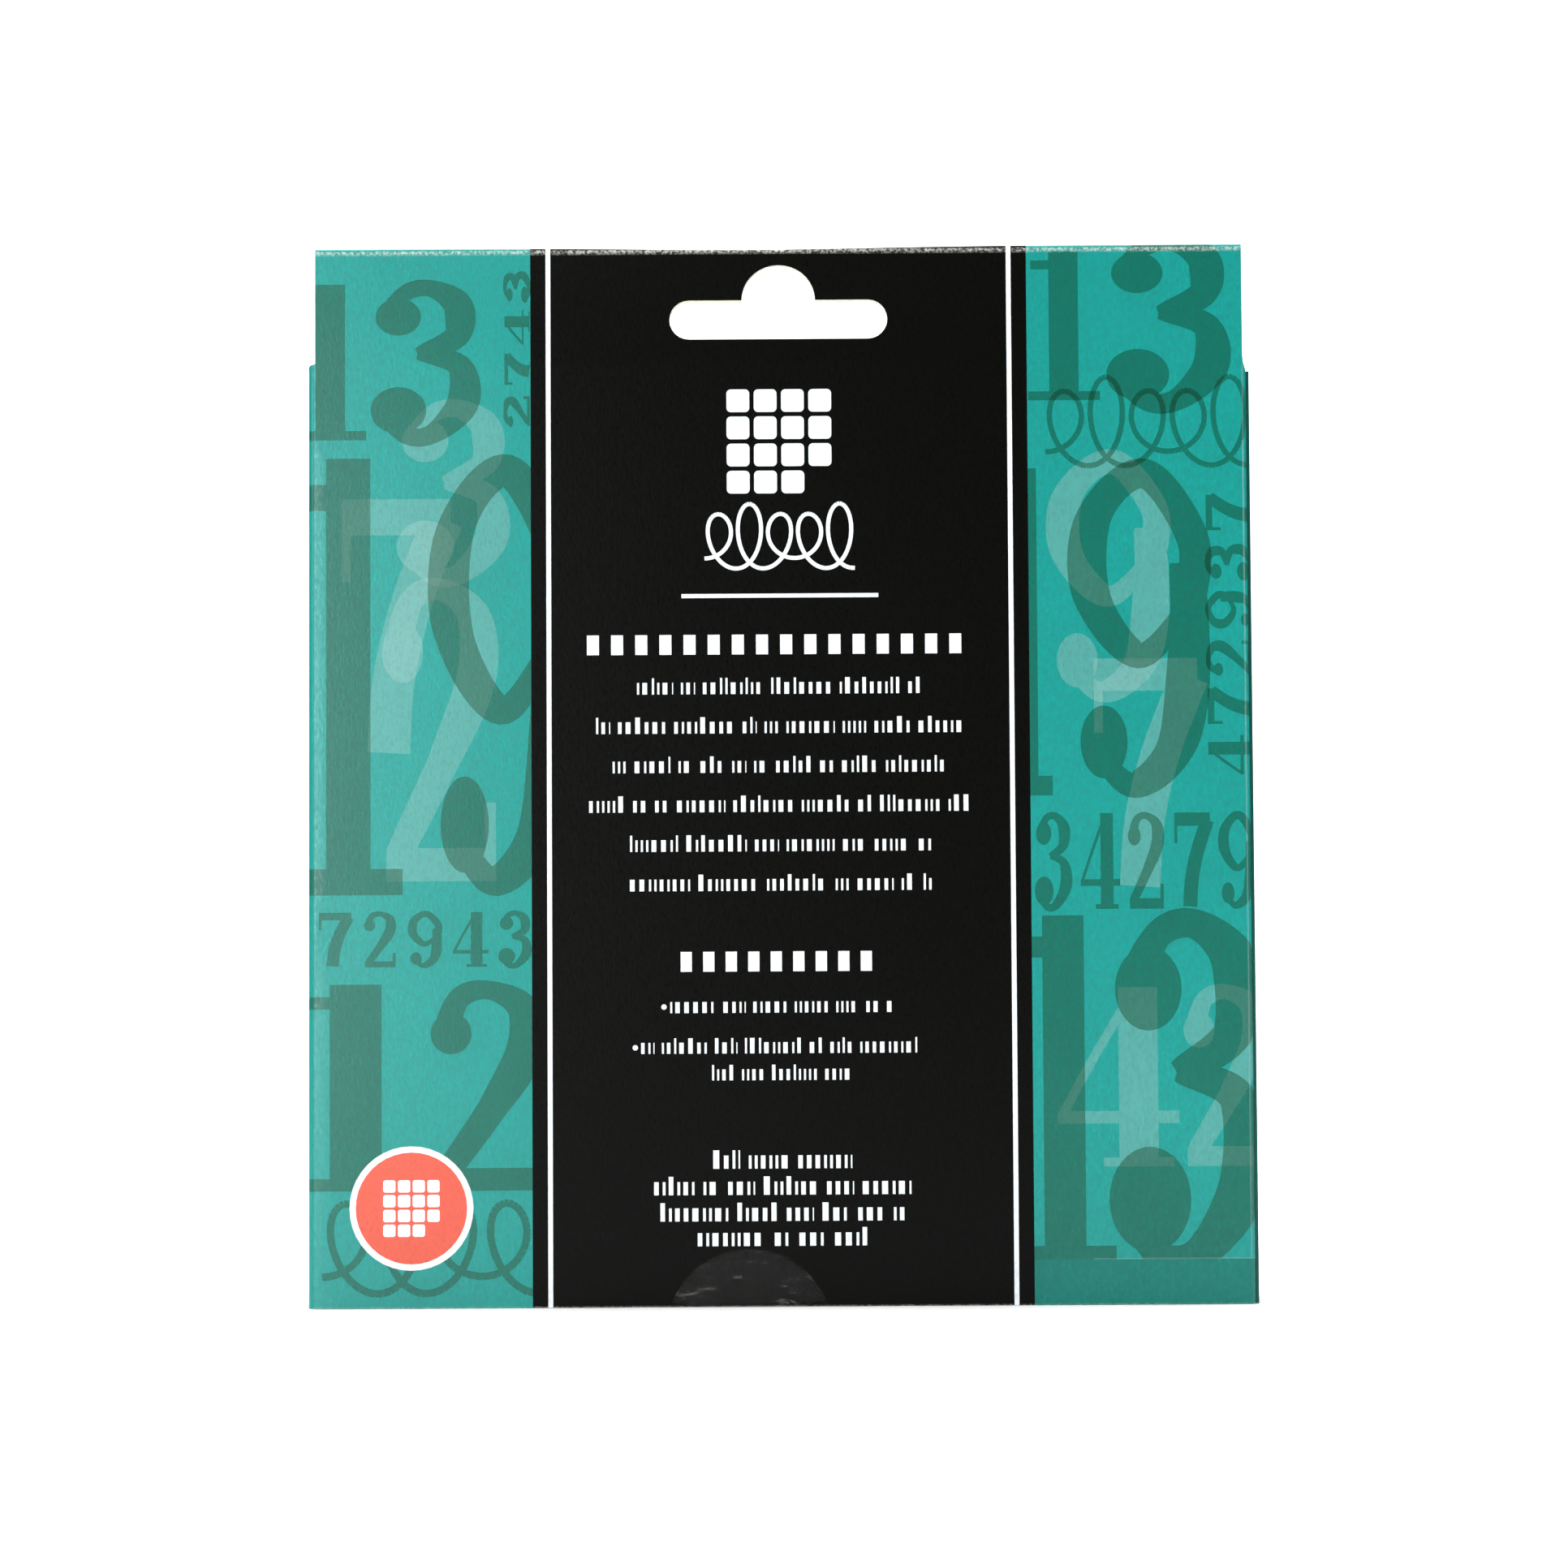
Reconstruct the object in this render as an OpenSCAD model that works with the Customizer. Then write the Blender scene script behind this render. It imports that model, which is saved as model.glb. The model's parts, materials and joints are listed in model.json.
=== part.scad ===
// Sliding tile puzzle with its instruction booklet, packed in a hanging carton.
// +X is to the right seen from the carton's back, +Y points out of the windowed front,
// +Z is up. The origin is the middle of the base.

/* [Carton] */
// Width across the side walls
carton_w = 138; // [134:1:150]
// Height of the closed lid above the ground
carton_h = 137.2; // [134:0.2:150]
// Depth from the back to the front
carton_d = 16; // [16:0.5:18]
// Thickness of the folding board
board_t = 0.45; // [0.35:0.05:0.5]
// Outer radius of the upright folds
fold_r = 1; // [0.8:0.1:1.4]
// Play between folded flaps
flap_gap = 0.05; // [0.02:0.01:0.1]

/* [Hanging header] */
// Height of the header above the lid
header_h = 17.8; // [17:0.2:24]
// Length of the hanging slot
slot_w = 32; // [28:1:34]
// Height of the slot's straight bar
slot_h = 5.8; // [5:0.1:7]
// Radius of the dome above the bar
dome_r = 5.4; // [4:0.1:6]
// Height of the bar's middle line above the lid
slot_z = 7; // [6:0.2:8]

/* [Lid and base flaps] */
// Length of the lid's tuck
tuck_l = 9; // [6:0.5:9]
// Play between the tuck and the wall that it slides behind
tuck_play = 0.35; // [0.3:0.05:0.5]
// Length of the lid's dust flaps
lid_dust_l = 10; // [6:0.5:10]
// Length of the base's dust flaps
base_dust_l = 32; // [20:1:50]

/* [Window and insert] */
// Side of the square window
window_w = 104; // [98:1:110]
// Corner radius of the window
window_r = 4; // [2:0.5:8]
// Height of the window's and the puzzle's middle
puzzle_z = 66; // [62:0.5:70]
// Side of the opening in the insert card
insert_hole_w = 97; // [92:0.5:98]
// Thickness of the insert card
card_t = 0.5; // [0.3:0.05:0.6]

/* [Clear seal] */
// Radius of the round seal
seal_r = 12.1; // [8:0.1:12.1]
// Thickness of the seal
seal_t = 0.06; // [0.04:0.01:0.1]
// Distance from the seal's centre to the edge that it wraps
seal_drop = 3.8; // [0:0.1:3.8]
// Sideways place of the seal
seal_x = -5; // [-40:1:40]

/* [Booklet] */
// Side of the square booklet
booklet_w = 118; // [90:1:120]
// Thickness of the booklet's cover sheet
cover_t = 0.2; // [0.1:0.05:0.3]
// Thickness of the booklet's pages together
pages_t = 2; // [0.5:0.1:2]

/* [Puzzle] */
// Tiles along one side
grid_n = 4; // [4:1:4]
// Distance between neighbouring tiles
pitch = 21; // [19:0.5:21]
// Gap between neighbouring tiles
tile_gap = 0.2; // [0.15:0.05:0.4]
// Outer side of the frame
frame_w = 100; // [96:1:102]
// Outer corner radius of the frame
frame_r = 5; // [3:0.5:6]
// Height of the frame's front above the tray floor
frame_h = 6.75; // [6.6:0.05:6.75]
// Thickness of the tray floor
floor_t = 2; // [1.5:0.1:2]
// Thickness of the back plate
back_t = 1.5; // [1.4:0.1:1.5]
// Depth of a plastic tile carrier
carrier_t = 4.8; // [4.6:0.1:4.8]
// Thickness of a metal tile face
face_t = 0.8; // [0.6:0.1:0.8]
// Side of a metal tile face
face_w = 20.2; // [18:0.1:20.4]
// Corner radius of a metal tile face
face_r = 1.6; // [0.5:0.1:3]

/* [Tile tongues] */
// How far a tongue stands out
tongue_l = 1.2; // [0.8:0.1:1.2]
// Thickness of a tongue
tongue_t = 1.4; // [1:0.1:1.4]
// Play round a tongue in its groove
tongue_play = 0.15; // [0.1:0.05:0.2]
// Height of the tongue's underside above the tray floor
tongue_y = 1.8; // [1.5:0.1:1.8]

/* [Screws] */
// Distance of the frame's screws from its middle lines
screw_at = 46; // [45:0.5:46]
// Radius of a screw's shank
screw_r = 1.2; // [1:0.1:1.3]
// Radius of a screw's head
screw_head_r = 2.2; // [1.8:0.1:2.5]
// Thickness of a screw's head
screw_head_t = 1.1; // [0.8:0.1:1.1]

/* [Hidden] */
$fn = 64;
eps = 0.01;

// Carton planes
half_w = carton_w / 2;
half_d = carton_d / 2;
flat_x = half_w - fold_r;
flat_y = half_d - fold_r;
base_z = seal_t;
inner_x = half_w - board_t;
inner_y = half_d - board_t;
header_top = carton_h + header_h;
dust_play = 2 * flap_gap;
wall_top = carton_h - 2 * board_t - dust_play;
front_top = carton_h - 0.2;
notch_r = 8;

// Lid planes
lid_hinge_y = -half_d + 2 * board_t + flap_gap;
lid_front_y = inner_y - tuck_play;
lid_x = half_w - 0.8;
lid_under_z = carton_h - board_t;
tuck_back_y = lid_front_y - board_t;
tuck_x = half_w - 1.5;
tuck_shoulder = 6;
tuck_shoulder_x = tuck_x - 14;
tuck_end_x = tuck_x - 17;
hinge_play = 0.02;
dust_back_y = lid_hinge_y + 0.6;
dust_front_y = tuck_back_y - 0.35;
dust_taper = 2.8;

// Base planes
base_flap_top = base_z + board_t;
base_back_y = -inner_y + flap_gap;
base_x = half_w - 1;
base_dust_z = base_flap_top + flap_gap;
base_dust_top = base_dust_z + board_t;
base_dust_slope = 5;

// Insert planes
insert_front_y = inner_y - 2 * flap_gap;
insert_back_y = insert_front_y - card_t;
insert_x = inner_x - board_t - 0.8;
insert_low = base_dust_top + 0.1;
insert_top = lid_under_z - tuck_l - 1.2;
insert_legs_back = -4.4;
insert_hole_r = 3;

// Seam flap
seam_low = 3;
seam_top = wall_top - 3;

// Booklet planes
booklet_back_y = base_back_y + board_t + 2 * flap_gap;
booklet_front_y = booklet_back_y + 2 * cover_t + pages_t;
booklet_low = base_dust_top + 1;
page_trim = 1;
staple_r = 0.2;
staple_l = 12;
staple_at = 30;

// Puzzle planes
frame_front_y = insert_back_y - flap_gap;
floor_y = frame_front_y - frame_h;
tray_back_y = floor_y - floor_t;
plate_back_y = tray_back_y - back_t;
opening = grid_n * pitch + tile_gap;
tile_w = pitch - tile_gap;
carrier_y = floor_y + 0.1;
carrier_front_y = carrier_y + carrier_t;
face_front_y = carrier_front_y + face_t;
tongue_low_y = floor_y + tongue_y;
tongue_high_y = tongue_low_y + tongue_t;
groove_low_y = tongue_low_y - tongue_play;
groove_high_y = tongue_high_y + tongue_play;
groove_l = tongue_l + 0.2;
carrier_r = 0.8;
tile_count = grid_n * grid_n - 1;
shank_end_y = frame_front_y - 1.9;
shank_clearance = 0.2;
thread_clearance = 0.05;

print_colour = "#2a9d96";
ink_colour = "#1b7365";
board_colour = "#efece4";

function tile_name(number) = str("tile_", number < 10 ? "0" : "", number);
function tile_column(number) = (number - 1) % grid_n;
function tile_row(number) = floor((number - 1) / grid_n);
function cell_x(column) = ((grid_n - 1) / 2 - column) * pitch;
function cell_z(row) = puzzle_z + ((grid_n - 1) / 2 - row) * pitch;

// A block given by its lowest and highest corners.
module block(low, high) {
    translate(low)
        cube(high - low);
}

// A flat outline in X and Z, given thickness from y_low to y_high.
module upright(y_low, y_high, z = 0) {
    translate([0, y_high, z])
        rotate([90, 0, 0])
            linear_extrude(y_high - y_low)
                children();
}

module rounded_square(w, r) {
    square([w - 2 * r, w], center = true);
    square([w, w - 2 * r], center = true);
    for (x = [-1, 1], y = [-1, 1])
        translate([x, y] * (w / 2 - r))
            circle(r);
}

module mirrored(side) {
    mirror([side < 0 ? 1 : 0, 0, 0])
        children();
}

// ---- Carton ----

module wall_sheet(y_low, y_high, top) {
    block([-flat_x, y_low, base_z], [flat_x, y_high, top]);
}

module back_panel() {
    color(print_colour)
        wall_sheet(-half_d, -inner_y, carton_h);
}

module front_panel() {
    color(print_colour)
        difference() {
            wall_sheet(inner_y, half_d, front_top);
            upright(inner_y - 1, half_d + 1, puzzle_z)
                rounded_square(window_w, window_r);
            upright(inner_y - 1, half_d + 1, front_top)
                circle(notch_r);
        }
}

// One side wall with the two upright folds that join it to the back and the front.
module side_panel() {
    block([inner_x, -flat_y, base_z], [half_w, flat_y, wall_top]);
    for (end = [-1, 1])
        intersection() {
            translate([flat_x, end * flat_y, base_z])
                difference() {
                    cylinder(wall_top - base_z, r = fold_r);
                    translate([0, 0, -1])
                        cylinder(carton_h + 2, r = fold_r - board_t);
                }
            block(
                [flat_x, end < 0 ? -half_d : flat_y, base_z],
                [half_w, end < 0 ? -flat_y : half_d, wall_top]
            );
        }
}

module left_side_panel() {
    color(print_colour)
        mirrored(-1)
            side_panel();
}

module right_side_panel() {
    color(print_colour)
        side_panel();
}

module seam_flap() {
    color(board_colour)
        block([inner_x - board_t, -flat_y, seam_low], [inner_x, flat_y - 3, seam_top]);
}

// ---- Header ----

module hang_slot() {
    square([slot_w - slot_h, slot_h], center = true);
    for (x = [-1, 1])
        translate([x * (slot_w - slot_h) / 2, 0])
            circle(slot_h / 2);
    translate([0, slot_h / 2])
        circle(dome_r);
}

module header_ply(y_low, y_high, low) {
    difference() {
        block([-flat_x, y_low, low], [flat_x, y_high, header_top - board_t]);
        upright(y_low - 1, y_high + 1, carton_h + slot_z)
            hang_slot();
    }
}

module header_back_ply() {
    color(print_colour) {
        header_ply(-half_d, -inner_y, carton_h);
        intersection() {
            translate([-flat_x, -inner_y, header_top - board_t])
                rotate([0, 90, 0])
                    cylinder(2 * flat_x, r = board_t);
            block(
                [-flat_x, -half_d, header_top - board_t],
                [flat_x, -inner_y + board_t, header_top]
            );
        }
    }
}

module header_front_ply() {
    color(print_colour)
        header_ply(-inner_y, -inner_y + board_t, lid_under_z);
}

// ---- Lid ----

module lid_flap() {
    color(print_colour)
        block([-lid_x, lid_hinge_y, lid_under_z], [lid_x, lid_front_y, carton_h]);
}

module tuck_outline(direction) {
    polygon([
        [-tuck_x, 0],
        [tuck_x, 0],
        [tuck_shoulder_x, direction * tuck_shoulder],
        [tuck_end_x, direction * tuck_l],
        [-tuck_end_x, direction * tuck_l],
        [-tuck_shoulder_x, direction * tuck_shoulder]
    ]);
}

module lid_tuck() {
    color(board_colour)
        upright(tuck_back_y, lid_front_y, lid_under_z - hinge_play)
            tuck_outline(-1);
}

// The edge near the lid's hinge slopes at 45 degrees, so the flap rises with the lid.
module lid_dust_flap() {
    translate([inner_x - hinge_play, 0, wall_top])
        linear_extrude(board_t)
            polygon([
                [0, dust_back_y],
                [-lid_dust_l, dust_back_y + lid_dust_l],
                [-lid_dust_l, dust_front_y - dust_taper],
                [0, dust_front_y]
            ]);
}

module lid_dust_flap_left() {
    color(board_colour)
        mirrored(-1)
            lid_dust_flap();
}

module lid_dust_flap_right() {
    color(board_colour)
        lid_dust_flap();
}

// ---- Base ----

module base_flap() {
    color(print_colour)
        block([-base_x, base_back_y, base_z], [base_x, inner_y - flap_gap, base_flap_top]);
}

module base_tuck() {
    color(board_colour)
        upright(base_back_y, base_back_y + board_t, base_flap_top)
            tuck_outline(1);
}

module base_dust_flap() {
    translate([inner_x, 0, base_dust_z])
        linear_extrude(board_t)
            polygon([
                [0, booklet_back_y],
                [-base_dust_l, booklet_back_y + base_dust_slope / 2],
                [-base_dust_l, inner_y - base_dust_slope],
                [0, inner_y - 1]
            ]);
}

module base_dust_flap_left() {
    color(board_colour)
        mirrored(-1)
            base_dust_flap();
}

module base_dust_flap_right() {
    color(board_colour)
        base_dust_flap();
}

// The round seal lies half on the back panel and half under the base flap.
module clear_seal() {
    color([0.9, 0.95, 0.95, 0.4]) {
        intersection() {
            upright(-half_d - seal_t, -half_d, base_z - seal_drop)
                translate([seal_x, 0])
                    circle(seal_r);
            block([-half_w, -half_d - seal_t, 0], [half_w, -half_d, seal_r]);
        }
        intersection() {
            translate([seal_x, -half_d + seal_drop, 0])
                cylinder(seal_t, r = seal_r);
            block([-half_w, -half_d - eps, 0], [half_w, half_d, seal_t]);
        }
    }
}

// ---- Insert card ----

module insert_face() {
    color(board_colour)
        difference() {
            block(
                [-insert_x, insert_back_y, insert_low],
                [insert_x, insert_front_y, insert_top]
            );
            upright(insert_back_y - 1, insert_front_y + 1, puzzle_z)
                rounded_square(insert_hole_w, insert_hole_r);
        }
}

module insert_legs() {
    leg_x = insert_x - card_t;
    color(board_colour) {
        for (side = [-1, 1])
            mirrored(side)
                block([leg_x, insert_legs_back, insert_low], [insert_x, insert_back_y, insert_top]);
        for (z = [insert_low, insert_top - card_t])
            block(
                [-leg_x + flap_gap, insert_legs_back, z],
                [leg_x - flap_gap, insert_back_y, z + card_t]
            );
    }
}

// ---- Booklet ----

module booklet_sheet(y_low, y_high, left, right) {
    block([left, y_low, booklet_low], [right, y_high, booklet_low + booklet_w]);
}

module booklet_cover() {
    edge = booklet_w / 2;
    color("#f2f0ea") {
        booklet_sheet(booklet_back_y, booklet_back_y + cover_t, -edge, edge);
        booklet_sheet(booklet_front_y - cover_t, booklet_front_y, -edge, edge);
        booklet_sheet(booklet_back_y, booklet_front_y, -edge, -edge + cover_t);
    }
}

module booklet_pages() {
    edge = booklet_w / 2;
    color("white")
        block(
            [-edge + cover_t, booklet_back_y + cover_t, booklet_low + page_trim / 2],
            [edge - page_trim, booklet_front_y - cover_t, booklet_low + booklet_w - page_trim / 2]
        );
}

module booklet_staples() {
    color("silver")
        for (end = [-1, 1])
            translate([
                -booklet_w / 2 - staple_r,
                (booklet_back_y + booklet_front_y) / 2,
                booklet_low + booklet_w / 2 + end * staple_at - staple_l / 2
            ])
                cylinder(staple_l, r = staple_r);
}

// ---- Puzzle ----

module at_screws() {
    for (x = [-1, 1], z = [-1, 1])
        translate([x * screw_at, 0, puzzle_z + z * screw_at])
            children();
}

// A round bar along Y from y_low to y_high.
module bar(y_low, y_high, r) {
    translate([0, y_high, 0])
        rotate([90, 0, 0])
            cylinder(y_high - y_low, r = r);
}

module puzzle_back_plate() {
    color("silver")
        difference() {
            upright(plate_back_y, tray_back_y, puzzle_z)
                rounded_square(frame_w, frame_r);
            at_screws() {
                bar(plate_back_y - 1, tray_back_y + 1, screw_r + shank_clearance);
                bar(plate_back_y - 1, plate_back_y + screw_head_t + flap_gap, screw_head_r + 0.1);
            }
        }
}

// The tray holds two of its edges' tongues, and the lower halves of the other two's grooves.
module puzzle_tray() {
    half = opening / 2;
    color("#202224")
        difference() {
            union() {
                difference() {
                    upright(tray_back_y, groove_high_y, puzzle_z)
                        rounded_square(frame_w, frame_r);
                    upright(floor_y, groove_high_y + 1, puzzle_z)
                        square(opening, center = true);
                    upright(groove_low_y, groove_high_y + 1, puzzle_z)
                        translate([-half - groove_l, -half - groove_l])
                            square(opening + groove_l);
                }
                upright(tongue_low_y, tongue_high_y, puzzle_z)
                    difference() {
                        translate([-half, -half])
                            square(opening + eps);
                        translate([-half - 1, -half - 1])
                            square(opening - tongue_l + 1);
                    }
            }
            at_screws()
                bar(tray_back_y - 1, groove_high_y + 1, screw_r + shank_clearance);
        }
}

module puzzle_frame() {
    color("silver")
        difference() {
            upright(groove_high_y, frame_front_y, puzzle_z)
                rounded_square(frame_w, frame_r);
            upright(groove_high_y - 1, frame_front_y + 1, puzzle_z)
                square(opening, center = true);
            at_screws()
                bar(groove_high_y - 1, shank_end_y + 0.3, screw_r + thread_clearance);
        }
}

module frame_screws() {
    color("dimgray")
        at_screws() {
            bar(plate_back_y + screw_head_t - eps, shank_end_y, screw_r);
            bar(plate_back_y, plate_back_y + screw_head_t, screw_head_r);
        }
}

module at_cell(number) {
    translate([cell_x(tile_column(number)), 0, cell_z(tile_row(number))])
        children();
}

// A carrier has tongues towards -X and -Z, and grooves towards +X and +Z.
module tile_carrier(number) {
    half = tile_w / 2;
    color("#2b2d30")
        at_cell(number)
            difference() {
                union() {
                    upright(carrier_y, carrier_front_y)
                        rounded_square(tile_w, carrier_r);
                    upright(tongue_low_y, tongue_high_y)
                        translate([-half - tongue_l, -half - tongue_l])
                            square(tile_w - groove_l + tongue_l);
                }
                upright(groove_low_y, groove_high_y) {
                    translate([half - groove_l, -tile_w])
                        square([groove_l + 1, 2 * tile_w]);
                    translate([-tile_w, half - groove_l])
                        square([2 * tile_w, groove_l + 1]);
                }
            }
}

module tile_face(number) {
    color("gainsboro")
        at_cell(number)
            upright(carrier_front_y, face_front_y)
                rounded_square(face_w, face_r);
}

back_panel();
front_panel();
left_side_panel();
right_side_panel();
seam_flap();
header_back_ply();
header_front_ply();
lid_flap();
lid_tuck();
lid_dust_flap_left();
lid_dust_flap_right();
base_flap();
base_tuck();
base_dust_flap_left();
base_dust_flap_right();
clear_seal();
insert_face();
insert_legs();
booklet_cover();
booklet_pages();
booklet_staples();
puzzle_back_plate();
puzzle_tray();
puzzle_frame();
frame_screws();
for (number = [1 : tile_count]) {
    tile_carrier(number);
    tile_face(number);
}
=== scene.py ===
import json
import math
import random

import bmesh
import bpy
import numpy as np
from mathutils import Matrix, Vector
from mathutils.geometry import delaunay_2d_cdt


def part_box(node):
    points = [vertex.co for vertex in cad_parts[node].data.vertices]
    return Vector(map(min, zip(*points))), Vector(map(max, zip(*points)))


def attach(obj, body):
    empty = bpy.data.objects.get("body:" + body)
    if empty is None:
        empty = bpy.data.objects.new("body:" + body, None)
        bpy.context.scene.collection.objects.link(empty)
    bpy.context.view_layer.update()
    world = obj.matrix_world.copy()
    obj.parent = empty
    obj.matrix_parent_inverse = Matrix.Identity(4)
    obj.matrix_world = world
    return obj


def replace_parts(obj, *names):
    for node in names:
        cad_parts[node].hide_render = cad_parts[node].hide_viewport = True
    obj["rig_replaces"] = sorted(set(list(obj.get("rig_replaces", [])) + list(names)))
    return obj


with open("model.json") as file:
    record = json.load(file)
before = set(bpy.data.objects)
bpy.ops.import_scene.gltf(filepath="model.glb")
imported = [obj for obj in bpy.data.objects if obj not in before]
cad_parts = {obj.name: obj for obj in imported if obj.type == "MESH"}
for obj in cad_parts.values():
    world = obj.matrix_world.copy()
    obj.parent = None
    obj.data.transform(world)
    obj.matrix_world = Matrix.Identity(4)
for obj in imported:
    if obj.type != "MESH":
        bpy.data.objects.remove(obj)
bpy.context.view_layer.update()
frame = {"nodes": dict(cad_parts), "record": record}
random.seed(7)

# Lengths below are in millimetres, and meshes are made in metres.
MM = 0.001


def mm_box(node):
    low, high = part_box(node)
    return low / MM, high / MM


back_low, back_high = mm_box("back_panel")
_, front_high = mm_box("front_panel")
side_low, side_high = mm_box("right_side_panel")
seam_low, seam_high = mm_box("seam_flap")
ply_low, ply_high = mm_box("header_front_ply")
_, header_high = mm_box("header_back_ply")
seal_low, seal_high = mm_box("clear_seal")
rim_low, rim_high = mm_box("puzzle_frame")

# The carton's own sizes come from the part.
HALF_W = side_high.x
HALF_D = front_high.y
BASE = side_low.z
BOARD = back_high.y - back_low.y
SKIN = BOARD - 0.02
FOLD = HALF_W - back_high.x
FOLD_STEPS = 8
WALL_TOP = side_high.z
FRONT_TOP = front_high.z
HEADER_TOP = max(header_high.z, ply_high.z)
PUZZLE_Z = (rim_low.z + rim_high.z) / 2
# Window in the front, thumb notch above it, hanging slot with its dome, and the black band's half width.
WINDOW = 104
WINDOW_R = 4
NOTCH_R = 8
SLOT_Z = 144.2
SLOT_W = 32
SLOT_H = 5.8
DOME_R = 5.4
BAND = 36.4
PIN_X, PIN_W = 33.8, 0.7
HEADER_HALF = 68
FOOT_STRIP_H = 6.6
# How far the header's fold has sagged, and how far the header bows.
SAG, BOW = 0.42, 0.16


# ---- Shapes in the flat ----


def arc(x, z, rx, rz, start, stop, step):
    """Points on an ellipse between two angles in degrees, both included."""
    angles = [math.radians(a) for a in range(start, stop + (1 if step > 0 else -1), step)]
    return [(x + rx * math.cos(a), z + rz * math.sin(a)) for a in angles]


def circle(x, z, rx, rz=None, steps=40):
    rz = rz or rx
    turns = [2 * math.pi * i / steps for i in range(steps)]
    return [(x + rx * math.cos(a), z + rz * math.sin(a)) for a in turns]


def facing_left(loop):
    """The loop run so that its inside lies on its left."""
    area = sum(a[0] * b[1] - b[0] * a[1] for a, b in zip(loop, loop[1:] + loop[:1]))
    return loop[::-1] if area < 0 else loop


def rect(x0, z0, x1, z1):
    return [(x0, z0), (x1, z0), (x1, z1), (x0, z1)]


def round_rect(x0, z0, x1, z1, r, steps=6):
    points = []
    corners = ((x1 - r, z0 + r, -90), (x1 - r, z1 - r, 0), (x0 + r, z1 - r, 90), (x0 + r, z0 + r, 180))
    for x, z, start in corners:
        for i in range(steps + 1):
            a = math.radians(start + 90 * i / steps)
            points.append((x + r * math.cos(a), z + r * math.sin(a)))
    return points


def smooth_line(points, steps=12):
    """A curve through the points, as a closely spaced line."""
    ends = [points[0]] + list(points) + [points[-1]]
    line = []
    for i in range(1, len(ends) - 2):
        p0, p1, p2, p3 = (np.array(p, float) for p in ends[i - 1 : i + 3])
        for k in range(steps):
            t = k / steps
            slope = (p2 - p0) * t
            bend = (2 * p0 - 5 * p1 + 4 * p2 - p3) * t**2
            twist = (3 * p1 - p0 - 3 * p2 + p3) * t**3
            line.append(0.5 * (2 * p1 + slope + bend + twist))
    line.append(np.array(points[-1], float))
    return line


def stroke(points, thick, thin, curved=True):
    """A pen stroke, thick where it runs upright and thin where it runs level."""
    line = smooth_line(points) if curved else [np.array(p, float) for p in points]
    last = len(line) - 1
    runs = [line[min(i + 1, last)] - line[max(i - 1, 0)] for i in range(last + 1)]
    runs = [d / (np.linalg.norm(d) + 1e-9) for d in runs]
    halves = [(thin + (thick - thin) * abs(d[1]) ** 1.3) / 2 for d in runs]
    if len(points) > 4:
        # A long stroke tapers into the round at each end.
        halves = [half * min(1, 0.3 + i / 14, 0.3 + (last - i) / 14) for i, half in enumerate(halves)]
    left, right = [], []
    for i, p in enumerate(line):
        near = halves[max(i - 11, 0) : i + 12]
        side = np.array([-runs[i][1], runs[i][0]]) * sum(near) / len(near)
        left.append(tuple(p + side))
        right.append(tuple(p - side))
    return left + right[::-1]


# Each numeral fills a box one high and one wide: strokes as (points, thick, thin), then rounds, then bars.
FAT, THIN = 0.3, 0.07
NUMERALS = {
    "1": ([], [], [(0.34, 0, 0.7, 1), (0.08, 0, 0.96, 0.06), (0.12, 0.88, 0.4, 0.94)]),
    "2": (
        [
            (
                [
                    (0.2, 0.76), (0.3, 0.93), (0.52, 0.97), (0.76, 0.88),
                    (0.78, 0.68), (0.56, 0.42), (0.2, 0.08),
                ],
                FAT, THIN,
            ),
        ],
        [(0.24, 0.76, 0.15, 0.1)],
        [(0.12, 0, 0.9, 0.11), (0.84, 0, 0.92, 0.26)],
    ),
    "3": (
        [
            (
                [(0.2, 0.82), (0.34, 0.95), (0.54, 0.97), (0.74, 0.86), (0.72, 0.66), (0.42, 0.55)],
                FAT, THIN,
            ),
            (
                [(0.42, 0.55), (0.74, 0.48), (0.78, 0.24), (0.54, 0.04), (0.32, 0.03), (0.16, 0.16)],
                FAT, THIN,
            ),
        ],
        [(0.27, 0.79, 0.18, 0.12), (0.27, 0.19, 0.22, 0.15)],
        [],
    ),
    "4": (
        [([(0.64, 0.98), (0.34, 0.62), (0.08, 0.28)], THIN, THIN)],
        [],
        [(0.05, 0.24, 0.98, 0.31), (0.52, 0, 0.82, 1), (0.4, 0, 0.94, 0.05)],
    ),
    "7": (
        [([(0.88, 0.92), (0.64, 0.6), (0.5, 0.3), (0.46, 0.02)], FAT * 1.1, THIN)],
        [],
        [(0.1, 0.86, 0.94, 1), (0.1, 0.68, 0.17, 1)],
    ),
    "9": (
        [
            (
                [
                    (0.84, 0.6), (0.84, 0.78), (0.54, 0.97), (0.22, 0.84),
                    (0.2, 0.6), (0.5, 0.42), (0.8, 0.56),
                ],
                FAT * 0.9, THIN,
            ),
            ([(0.8, 0.7), (0.82, 0.46), (0.74, 0.16), (0.46, 0.03), (0.24, 0.12)], FAT, THIN),
        ],
        [(0.27, 0.16, 0.15, 0.11)],
        [],
    ),
}


def numeral(digit, x0, z0, x1, z1):
    """The parts of one numeral in the given box."""
    w, h = x1 - x0, z1 - z0
    lines, rounds, bars = NUMERALS[digit]
    parts = []
    for points, thick, thin in lines:
        spread = [(x0 + px * w, z0 + pz * h) for px, pz in points]
        parts.append(stroke(spread, thick * w, thin * w))
    for cx, cz, rx, rz in rounds:
        parts.append(circle(x0 + cx * w, z0 + cz * h, rx * w, rz * h))
    for bx0, bz0, bx1, bz1 in bars:
        parts.append(rect(x0 + bx0 * w, z0 + bz0 * h, x0 + bx1 * w, z0 + bz1 * h))
    return parts


def turned(parts, x, z):
    """The same parts turned a quarter about a point, for print that reads upwards."""
    return [[(x - (pz - z), z + (px - x)) for px, pz in loop] for loop in parts]


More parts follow.
